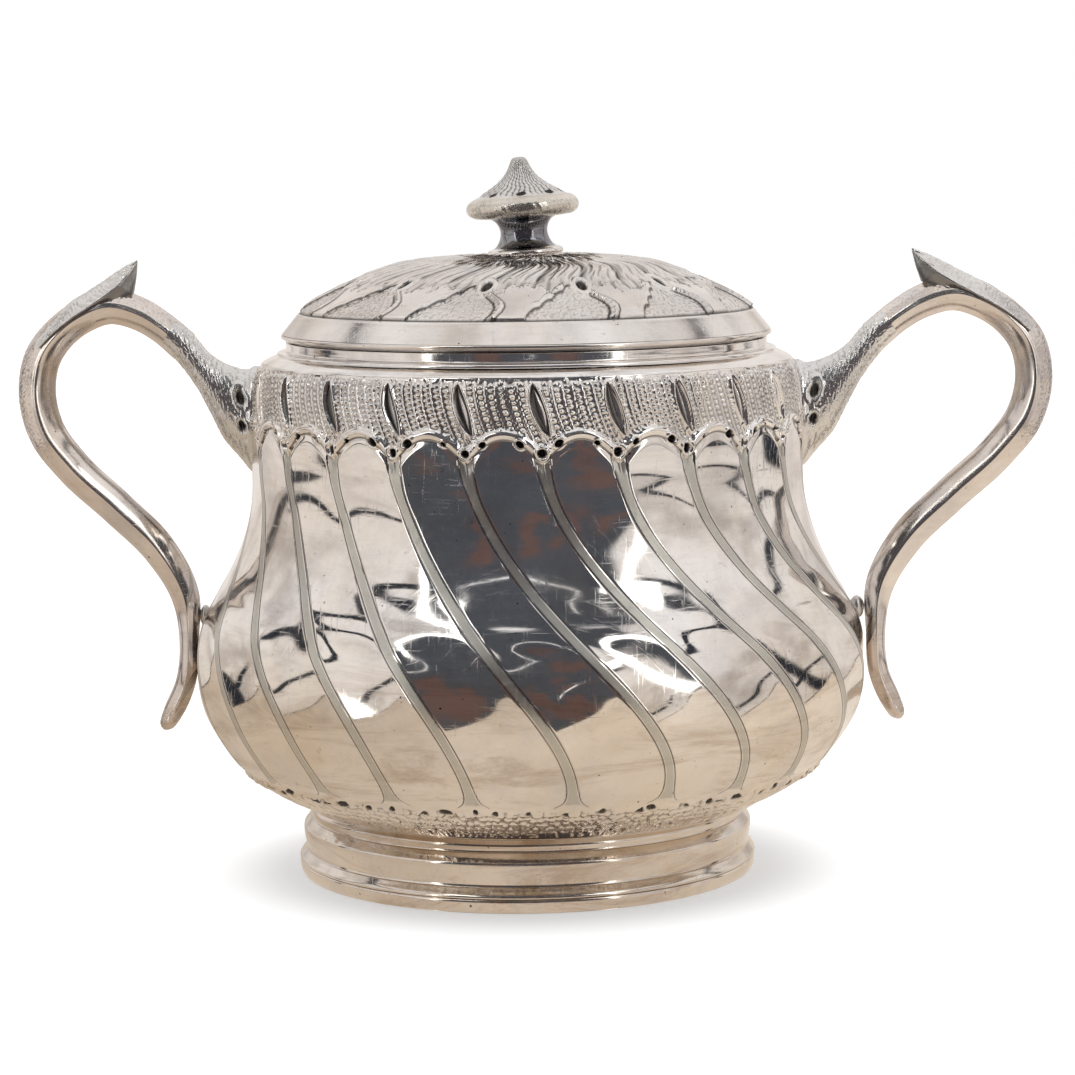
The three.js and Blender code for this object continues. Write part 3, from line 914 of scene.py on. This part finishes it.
def cap_relief(degrees, r, z):
    """Radial hatching on the cone and eight punched ovals round its foot."""
    cone = smoothstep(10.2, 10.8, z)
    lines = np.sin(np.radians(degrees) * 40.0 + 1.1 * np.sin(3.0 * z))
    cross = np.sin(z * 9.0 + np.radians(degrees) * 16.0)
    ribs = np.sin(np.radians(degrees) * 8.0) * smoothstep(17.0, 12.0, z)
    hatching = (0.05 * lines + 0.03 * cross) * smoothstep(0.5, 4.0, r)
    dark = cone * (0.12 + 0.45 * smoothstep(0.1, 0.9, -lines) + 0.2 * smoothstep(0.3, 1.0, cross))
    ray = np.mod(degrees + 22.5, 45.0) - 22.5
    oval = np.hypot(np.radians(ray) * r / 1.15, (z - 10.75) / 0.42)
    height = cone * (hatching + 0.14 * ribs) - 0.5 * mound(oval)
    return height, np.clip(dark + smoothstep(1.0, 0.6, oval), 0.0, 1.0)


def disc_relief(degrees, r, z):
    """A rim milled with slanting cuts, a little uneven."""
    slant = np.radians(degrees) * 44.0 + 2.2 * z
    cuts = np.sin(slant + 1.3 * scatter(np.floor(degrees / 15.0), 2, 3))
    rim = smoothstep(8.8, 9.8, r)
    wobble = np.sin(np.radians(degrees) * 5.0) * 0.08
    return rim * (0.022 * cuts + wobble), rim * 0.16 * smoothstep(0.2, 0.9, -cuts)


def plain_relief(degrees, r, z):
    return 0.0 * r, 0.0 * r


finial_piece("finial_ring", "finial_base", RING_OUTLINE, 128, plain_relief,
             POLISHED)
finial_piece("finial_spool", "finial_neck", SPOOL_OUTLINE, 128, plain_relief, DARK)
finial_piece("finial_plate", "finial_disc", PLATE_OUTLINE, 420, disc_relief, GILT)
finial_piece("finial_cone", "finial_cap", CONE_OUTLINE, 420, cap_relief, CHASED)


# ---------------------------------------------------------------- handles

HANDLE_ROOT_X = 54.8
# The right handle was bent a little wider and higher, and its leaf points further back
SIDES = {
    "left": {"sign": -1.0, "stretch": 1.0, "rise": 0.0, "tip": 0.0},
    "right": {"sign": 1.0, "stretch": 1.08, "rise": 0.02, "tip": -1.8},
}
# From the socket over the loop to the tail: x, z, thickness, width
HANDLE_LINE = [
    (67.0, 103.9, 6.4, 6.6), (71.6, 107.9, 6.3, 6.4), (75.6, 110.4, 6.6, 6.5),
    (82.0, 112.0, 7.0, 6.8), (87.0, 110.2, 6.8, 6.8), (91.6, 106.8, 6.8, 6.8),
    (94.9, 102.4, 7.2, 6.8), (96.3, 95.5, 7.4, 6.8), (94.6, 87.4, 7.5, 6.8),
    (89.6, 80.4, 7.3, 6.8), (81.2, 72.3, 7.1, 6.4), (73.1, 63.9, 6.8, 6.2),
    (68.3, 54.8, 5.7, 5.6), (67.7, 45.7, 3.9, 4.8), (68.6, 37.3, 4.0, 4.3),
    (71.3, 31.2, 3.9, 4.0), (72.5, 28.9, 3.0, 3.2), (72.9, 27.9, 1.2, 1.2),
    (72.95, 27.7, 0.02, 0.02),
]
SOCKET_UPPER = [
    (52.6, 99.9), (55.2, 99.4), (57.6, 100.0), (60.2, 101.2), (62.4, 102.9), (64.2, 105.1),
    (66.6, 107.7), (68.6, 109.0),
]
SOCKET_LOWER = [
    (53.2, 78.6), (55.2, 80.2), (56.9, 82.2), (59.7, 85.6), (62.2, 90.6), (65.0, 96.0),
    (69.6, 102.2), (71.6, 104.2),
]
SOCKET_WIDTH = [11.0, 9.8, 9.0, 8.2, 7.6, 7.2, 6.7, 6.5]
SOCKET_ROWS = 130
ROD_COLUMNS = 96
SPINE_EDGE = 1.15


def on_side(side, x, z):
    """A point of the handles' common shape, bent as this side's handle is."""
    reach = x - HANDLE_ROOT_X
    stretch = 1.0 + (side["stretch"] - 1.0) * smoothstep(15.0, 60.0, z)
    return np.stack([HANDLE_ROOT_X + reach * stretch, z + reach * side["rise"]], axis=1)


def swept(name, side, centre, outward, half_out, half_y, edge, relief, material, node):
    """A rod whose section runs from a diamond at an edge of 1 to an ellipse at 2."""
    around = np.radians(all_round(ROD_COLUMNS))
    height, dark = relief(around)
    out = np.sign(np.cos(around)) * np.abs(np.cos(around)) ** (2.0 / edge)
    across = np.sign(np.sin(around)) * np.abs(np.sin(around)) ** (2.0 / edge)
    out = (half_out[:, None] + height) * out
    across = (half_y[:, None] + height) * across
    x = centre[:, :1] + outward[:, :1] * out
    z = centre[:, 1:] + outward[:, 1:] * out
    points = np.stack([x * side["sign"], -across * side["sign"], z], axis=-1)
    mesh_piece(name, points, "bowl", material, patina_and_shade=dark, normals=grid_normals(points),
               nodes=(node,))


def build_handle(label, side):
    """The looped tube: stippled along its outer spine as far as the lower arm, smooth inside."""
    line = smooth_curve(HANDLE_LINE, 620)
    centre = on_side(side, line[:, 0], line[:, 1])
    along = np.gradient(centre, axis=0)
    along /= np.linalg.norm(along, axis=1, keepdims=True)
    outward = np.stack([-along[:, 1], along[:, 0]], axis=1)
    t = np.linspace(0.0, 1.0, len(line))[:, None]
    length = curve_length(centre)
    fade = (1.0 - smoothstep(0.40, 0.50, t)) + smoothstep(0.93, 0.955, t)

    def relief(around):
        from_spine = np.abs(np.mod(around + math.pi, math.tau) - math.pi)
        spine = smoothstep(SPINE_EDGE, SPINE_EDGE - 0.1, from_spine) * fade
        round_it = from_spine * 3.4 + 9.0 * (around > math.pi)
        grain = pebbles(t * length + 5.0, round_it, 0.48)
        edge = mound((from_spine - SPINE_EDGE) / 0.16) * fade
        return spine * (0.09 * grain - 0.07) + 0.08 * edge, spine * (0.3 - 0.3 * grain)

    swept(f"{label}_handle_tube", side, centre, outward, line[:, 2] / 2.0, line[:, 3] / 2.0, 1.3,
          relief, HANDLE, f"{label}_handle")


def build_socket(label, side):
    """The stippled flare at the body, with two punched ovals near its edge."""
    steps = np.linspace(0.0, 1.0, SOCKET_ROWS)
    knots = np.linspace(0.0, 1.0, len(SOCKET_WIDTH))
    width = np.interp(steps, knots, SOCKET_WIDTH)
    top = on_side(side, *smooth_curve(SOCKET_UPPER, steps).T)
    bottom = on_side(side, *smooth_curve(SOCKET_LOWER, steps).T)
    centre = (top + bottom) / 2.0
    outward = top - bottom
    half = np.linalg.norm(outward, axis=1) / 2.0
    outward = outward / (2.0 * half[:, None])
    t = steps[:, None]

    def relief(around):
        level = np.cos(around) * half[:, None]
        grain = pebbles(t * 19.0 + 0.0 * level, level + 30.0, 0.58)
        stippled = smoothstep(0.04, 0.12, t) * (1.0 - 0.6 * smoothstep(0.8, 1.0, t))
        height = stippled * (0.15 * grain - 0.1) + 0.35 * mound((t - 0.05) / 0.06)
        dark = stippled * (0.4 - 0.42 * grain)
        facing = np.abs(np.sin(around)) > 0.2
        for along, up, size in ((0.16, 3.6, 1.25), (0.13, -2.0, 0.95)):
            oval = np.hypot((t - along) * 18.0 / (0.75 * size), (level - up) / (1.25 * size))
            lip = 0.25 * mound((oval - 1.4) / 0.5)
            height = height + facing * (lip - 0.8 * mound(oval))
            dark = np.maximum(dark, facing * smoothstep(1.05, 0.7, oval))
        return height, np.clip(dark, 0.0, 1.0)

    swept(f"{label}_handle_flare", side, centre, outward, half, width / 2.0, 1.8, relief,
          CHASED, f"{label}_handle_socket")


# The thumb leaf from its tip: its ridge, its rim, and its root along the handle, all x and z
LEAF_RIDGE = [
    (75.95, 121.0), (77.8, 120.15), (79.8, 119.0), (82.4, 117.3), (85.4, 115.4), (88.9, 113.3),
    (91.6, 111.0), (94.2, 108.5), (96.4, 106.0),
]
LEAF_EDGE = [
    (75.9, 120.7), (77.5, 118.4), (79.5, 116.2), (82.4, 114.0), (85.6, 111.9), (88.4, 110.1),
    (90.8, 108.4), (93.2, 106.4), (95.3, 104.2),
]
LEAF_BASE = [
    (75.9, 120.5), (76.3, 117.2), (76.9, 114.4), (79.0, 113.4), (82.0, 112.8), (85.0, 111.4),
    (88.0, 109.6), (90.6, 107.4), (93.2, 104.6),
]
LEAF_HALF = [0.05, 1.5, 2.6, 3.4, 3.75, 3.8, 3.75, 3.65, 3.45]
LEAF_ROWS = 150
ROOF_COLUMNS = 15


def leaf_lines(side):
    """Ridge, rim and root of a leaf from tip to foot, and half its width."""
    steps = np.linspace(0.0, 1.0, LEAF_ROWS)
    knots = np.linspace(0.0, 1.0, len(LEAF_HALF))
    lines = [smooth_curve(LEAF_RIDGE, steps)]
    for outline in (LEAF_EDGE, LEAF_BASE):
        columns = [np.interp(steps, knots, column) for column in np.array(outline).T]
        lines.append(np.stack(columns, axis=1))
    to_tip = side["tip"] * (1.0 - steps) ** 2
    lines = [on_side(side, line[:, 0] + to_tip, line[:, 1]) for line in lines]
    return steps, lines, np.interp(steps, knots, LEAF_HALF)


def build_leaf(label, side):
    """A pointed leaf folded like a roof over the handle, lifting off it towards its tip."""
    steps, (ridge, edge, base), half = leaf_lines(side)
    slope = np.linspace(0.0, 1.0, ROOF_COLUMNS)[:, None]
    # From the ridge down one roof face, round its rim and back under to the handle
    roof = ridge + (edge - ridge) * slope[..., None] ** 1.25
    web = edge + (base - edge) * slope[..., None]
    web_y = half * (1.0 - 0.45 * np.sin(slope * math.pi / 2.0))
    face = np.concatenate([roof, web[1:]])
    face_y = np.concatenate([half * slope**0.85, web_y[1:]])
    under = np.zeros((ROOF_COLUMNS - 1, 1))
    on_roof = np.concatenate([np.ones((ROOF_COLUMNS, 1)), under])
    stippled = np.concatenate([smoothstep(0.98, 0.8, slope), under])
    grain = pebbles(steps[None, :] * 26.0 + 0.0 * face_y, face_y * 1.5, 0.7)
    lift = stippled * (0.08 * grain - 0.05)
    shade = stippled * (0.25 - 0.27 * grain) + (1.0 - on_roof) * 0.55

    near = np.stack([face[..., 0], -(face_y + lift), face[..., 1] + lift], axis=-1)
    far = near * (1.0, -1.0, 1.0)
    loop = np.concatenate([near[::-1], far[1:]]) * (side["sign"], 1.0, 1.0)
    dark = np.concatenate([shade[::-1], shade[1:]])
    if side["sign"] > 0.0:
        loop, dark = loop[::-1], dark[::-1]
    points = np.transpose(loop, (1, 0, 2))
    mesh_piece(f"{label}_leaf", points, "bowl", CHASED,
               patina_and_shade=np.clip(dark.T, 0.0, 1.0), nodes=(f"{label}_thumb_leaf",))


def build_lug(label):
    """A small blob of solder that holds the tail against the body."""
    box_low, box_high = low(f"{label}_handle_lug"), high(f"{label}_handle_lug")
    middle = (box_low + box_high) / 2.0 - (0.0, 0.0, 1.2)
    half = (box_high - box_low) / 2.0 + (0.4, -0.5, 1.0)
    steepest = math.pi / 2.0 - 0.01
    polar = np.linspace(-steepest, steepest, 24)[:, None]
    ball = round_the_axis(np.cos(polar), np.sin(polar), all_round(36))
    points = middle + ball * half * (1.0 + 0.06 * dents(ball * 5.0, 6.0, 11)[..., None])
    mesh_piece(f"{label}_solder", points, "bowl", PLAIN,
               nodes=(f"{label}_handle_lug",))


for side_label, side_shape in SIDES.items():
    build_handle(side_label, side_shape)
    build_socket(side_label, side_shape)
    build_leaf(side_label, side_shape)
    build_lug(side_label)


# ---------------------------------------------------------------- fixings under the lid

for fixing in ("lid_washer", "finial_nut", "finial_stud"):
    for material_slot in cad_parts[fixing].material_slots:
        material_slot.material = BRASS


# ---------------------------------------------------------------- studio, in metres

TABLE_LEFT, TABLE_RIGHT = -0.24, 0.24
TABLE_FRONT, TABLE_BACK = -0.25, 0.40
WHITE = (1.0, 1.0, 1.0, 1.0)
INK = (0.085, 0.092, 0.108, 1.0)
RUST = (0.15, 0.095, 0.085, 1.0)
SEAM = (0.03, 0.034, 0.045, 1.0)
LAMP = (4.0, 4.0, 3.9, 1.0)
TUBE = (1.6, 1.6, 1.6, 1.0)

# Directions seen from the bowl, in degrees: azimuth from the front and height
LAMPS = (
    ((-48.5, -45.5), (-8, 46)), ((42, 45), (-8, 42)), ((-48, -30), (44, 49)),
    ((32, 58), (37, 42)),
)
# Azimuths, height at azimuth 0, and rise in degrees per degree of azimuth
TUBES = (
    ((-30, -10), 30, -0.35), ((-6, 24), 36, 0.4), ((8, 16), 8, -0.2), ((-38, -34), -4, 1.5),
    ((-2, 4), -8, 1.2),
)
LEVEL_SEAMS = ((36.0, 1.8), (-1.0, 1.1))
UPRIGHT_SEAMS = (-106, 112)


def build_camera():
    data = bpy.data.cameras.new("camera")
    data.sensor_width = 36.0
    data.lens = 110.9
    data.clip_start = 0.01
    camera = bpy.data.objects.new("camera", data)
    bpy.context.scene.collection.objects.link(camera)
    camera.location = (0.0027, -0.650, 0.1434)
    camera.rotation_euler = (math.radians(90.0 - 6.85), math.radians(0.75), 0.0)
    bpy.context.scene.camera = camera


def card(name, left, right, front, back, z, material):
    """A flat rectangle that belongs to the studio, not to the bowl."""
    mesh = bpy.data.meshes.new(name)
    corners = [(left, front, z), (right, front, z), (right, back, z), (left, back, z)]
    mesh.from_pydata(corners, [], [(0, 1, 2, 3)])
    mesh.materials.append(material)
    piece = bpy.data.objects.new(name, mesh)
    bpy.context.scene.collection.objects.link(piece)
    return piece


def build_floor():
    """The white floor: it glows less close round the foot, as a painted contact shadow, and isn't
    seen in the silver.
    """
    material, nodes = new_material("floor")
    distance = nodes.add("ShaderNodeVectorMath", operation="LENGTH")
    nodes.plug(distance.inputs[0], nodes.add("ShaderNodeTexCoord").outputs["Object"])
    # Painted contact shadow: the glow is lower near the foot
    glow = nodes.ramp(distance.outputs["Value"], 0.043, 0.068, 0.42, 0.76)
    shader = nodes.add("ShaderNodeBsdfPrincipled")
    shader.inputs["Base Color"].default_value = (0.57, 0.60, 0.63, 1.0)
    shader.inputs["Roughness"].default_value = 0.9
    shader.inputs["Specular IOR Level"].default_value = 0.1
    shader.inputs["Emission Color"].default_value = WHITE
    nodes.plug(shader.inputs["Emission Strength"], glow)
    nodes.send(shader)
    card("floor", -3.0, 3.0, -3.0, 3.0, -0.0002, material).visible_glossy = False


def build_table():
    """The small table top that the silver reflects, a glowing card that paints the lit table,
    darker to the left as painted shade; the camera sees the white floor instead.
    """
    material, nodes = new_material("table")
    place = nodes.add("ShaderNodeTexCoord").outputs["Object"]
    parts = nodes.add("ShaderNodeSeparateXYZ")
    nodes.plug(parts.inputs[0], place)
    x, y = parts.outputs["X"], parts.outputs["Y"]
    inside = nodes.math("MINIMUM", nodes.math("SUBTRACT", x, TABLE_LEFT),
                        nodes.math("SUBTRACT", TABLE_RIGHT, x))
    inside = nodes.math("MINIMUM", inside, nodes.math("SUBTRACT", y, TABLE_FRONT))
    cloudy = nodes.math("MULTIPLY", nodes.noise(place, 14.0, 4.0), 0.6)
    # Painted light on the table: brighter to the right, darker to the left
    shaded = nodes.math("ADD", cloudy, nodes.ramp(x, -0.15, 0.2, 0.35, -0.15))
    lit_and_shaded_wood = nodes.mix(shaded, (1.02, 0.92, 0.81, 1.0), (0.45, 0.36, 0.27, 1.0))
    color = nodes.mix(nodes.ramp(inside, 0.008, 0.010), (0.07, 0.06, 0.06, 1.0), lit_and_shaded_wood)
    glow = nodes.add("ShaderNodeEmission")
    nodes.plug(glow.inputs["Color"], color)
    nodes.send(glow)
    table = card("table", TABLE_LEFT, TABLE_RIGHT, TABLE_FRONT, TABLE_BACK, -0.0004, material)
    table.visible_camera = False
    table.visible_diffuse = False
    table.visible_shadow = False


class Sky:
    """Marks in the world's light, placed by direction."""

    def __init__(self, nodes, color, direction):
        self.nodes = nodes
        self.color = color
        parts = nodes.add("ShaderNodeSeparateXYZ")
        nodes.plug(parts.inputs[0], direction)
        x, y, z = parts.outputs
        behind = nodes.math("MULTIPLY", y, -1.0)
        self.azimuth = nodes.math("DEGREES", nodes.math("ARCTAN2", x, behind))
        self.height = nodes.math("DEGREES", nodes.math("ARCSINE", z))
        wobble = nodes.math("SUBTRACT", nodes.noise(direction, 1.5, 0.0), 0.5)
        wobble = nodes.math("MULTIPLY", wobble, 22.0)
        self.wavy_azimuth = nodes.math("ADD", self.azimuth, wobble)
        self.wavy_height = nodes.math("ADD", self.height, wobble)

    def between(self, value, start, end, soft):
        rising = self.nodes.ramp(value, start - soft, start + soft)
        falling = self.nodes.ramp(value, end - soft, end + soft, 1.0, 0.0)
        return self.nodes.math("MULTIPLY", rising, falling)

    def wavy_patch(self, azimuths, heights, soft):
        return self.nodes.math("MULTIPLY", self.between(self.wavy_azimuth, *azimuths, soft),
                               self.between(self.wavy_height, *heights, soft))

    def paint(self, where, color):
        self.color = self.nodes.mix(where, self.color, color)

    def cloths(self, direction):
        """The dark side towards the camera, with rust-coloured folds in it."""
        self.paint(self.wavy_patch((-46, 41), (-60, 55), 1.5), INK)
        folds = self.nodes.stretched(direction, (0, 38, 0), (7, 2, 2.4))
        folds = self.nodes.ramp(self.nodes.noise(folds, 1.0, 3.0, 0.6), 0.47, 0.58)
        here = self.wavy_patch((-40, 34), (-40, 30), 3.0)
        self.paint(self.nodes.math("MULTIPLY", here, folds), RUST)

    def seams(self):
        """Dark seams of the tent: level ones at the sides, upright ones towards the back."""
        aside = self.between(self.nodes.math("ABSOLUTE", self.azimuth), 49.0, 122.0, 3.0)
        for level, half in LEVEL_SEAMS:
            seam = self.between(self.wavy_height, level - half, level + half, 0.4)
            self.paint(self.nodes.math("MULTIPLY", seam, aside), SEAM)
        for middle in UPRIGHT_SEAMS:
            self.paint(self.wavy_patch((middle - 2.2, middle + 2.2), (-40, 40), 0.6), SEAM)

    def lamps(self):
        """Strip lamps along the edge of the dark side, and thin tubes inside it."""
        for azimuths, heights in LAMPS:
            lamp = self.nodes.math("MULTIPLY", self.between(self.azimuth, *azimuths, 1.2),
                                   self.between(self.height, *heights, 1.2))
            self.paint(lamp, LAMP)
        for azimuths, level, slope in TUBES:
            rise = self.nodes.math("MULTIPLY", self.azimuth, slope)
            tilted = self.nodes.math("SUBTRACT", self.height, rise)
            tube = self.nodes.math("MULTIPLY", self.between(self.azimuth, *azimuths, 0.5),
                                   self.between(tilted, level - 0.35, level + 0.35, 0.2))
            self.paint(tube, TUBE)


def build_world():
    """A hazy white tent round the bowl, which the camera itself sees as plain white."""
    world = bpy.data.worlds.new("studio")
    bpy.context.scene.world = world
    world.use_nodes = True
    nodes = Nodes(world.node_tree)
    direction = nodes.add("ShaderNodeTexCoord").outputs["Generated"]
    sky = Sky(nodes, WHITE, direction)
    upward = nodes.ramp(sky.height, -20.0, 75.0)
    sky.paint(1.0, nodes.mix(upward, (0.88, 0.82, 0.77, 1.0), (1.02, 1.01, 1.02, 1.0)))
    haze = nodes.ramp(nodes.noise(direction, 3.2, 4.0, 0.6), 0.45, 0.68, 0.0, 0.75)
    sky.paint(haze, (0.48, 0.43, 0.40, 1.0))
    sky.cloths(direction)
    sky.seams()
    sky.lamps()
    seen = nodes.add("ShaderNodeLightPath").outputs["Is Camera Ray"]
    sky.paint(seen, WHITE)
    background = nodes.add("ShaderNodeBackground")
    nodes.plug(background.inputs["Color"], sky.color)
    nodes.send(background, "ShaderNodeOutputWorld")


build_camera()
build_floor()
build_table()
build_world()
bpy.context.scene.view_settings.view_transform = "Standard"
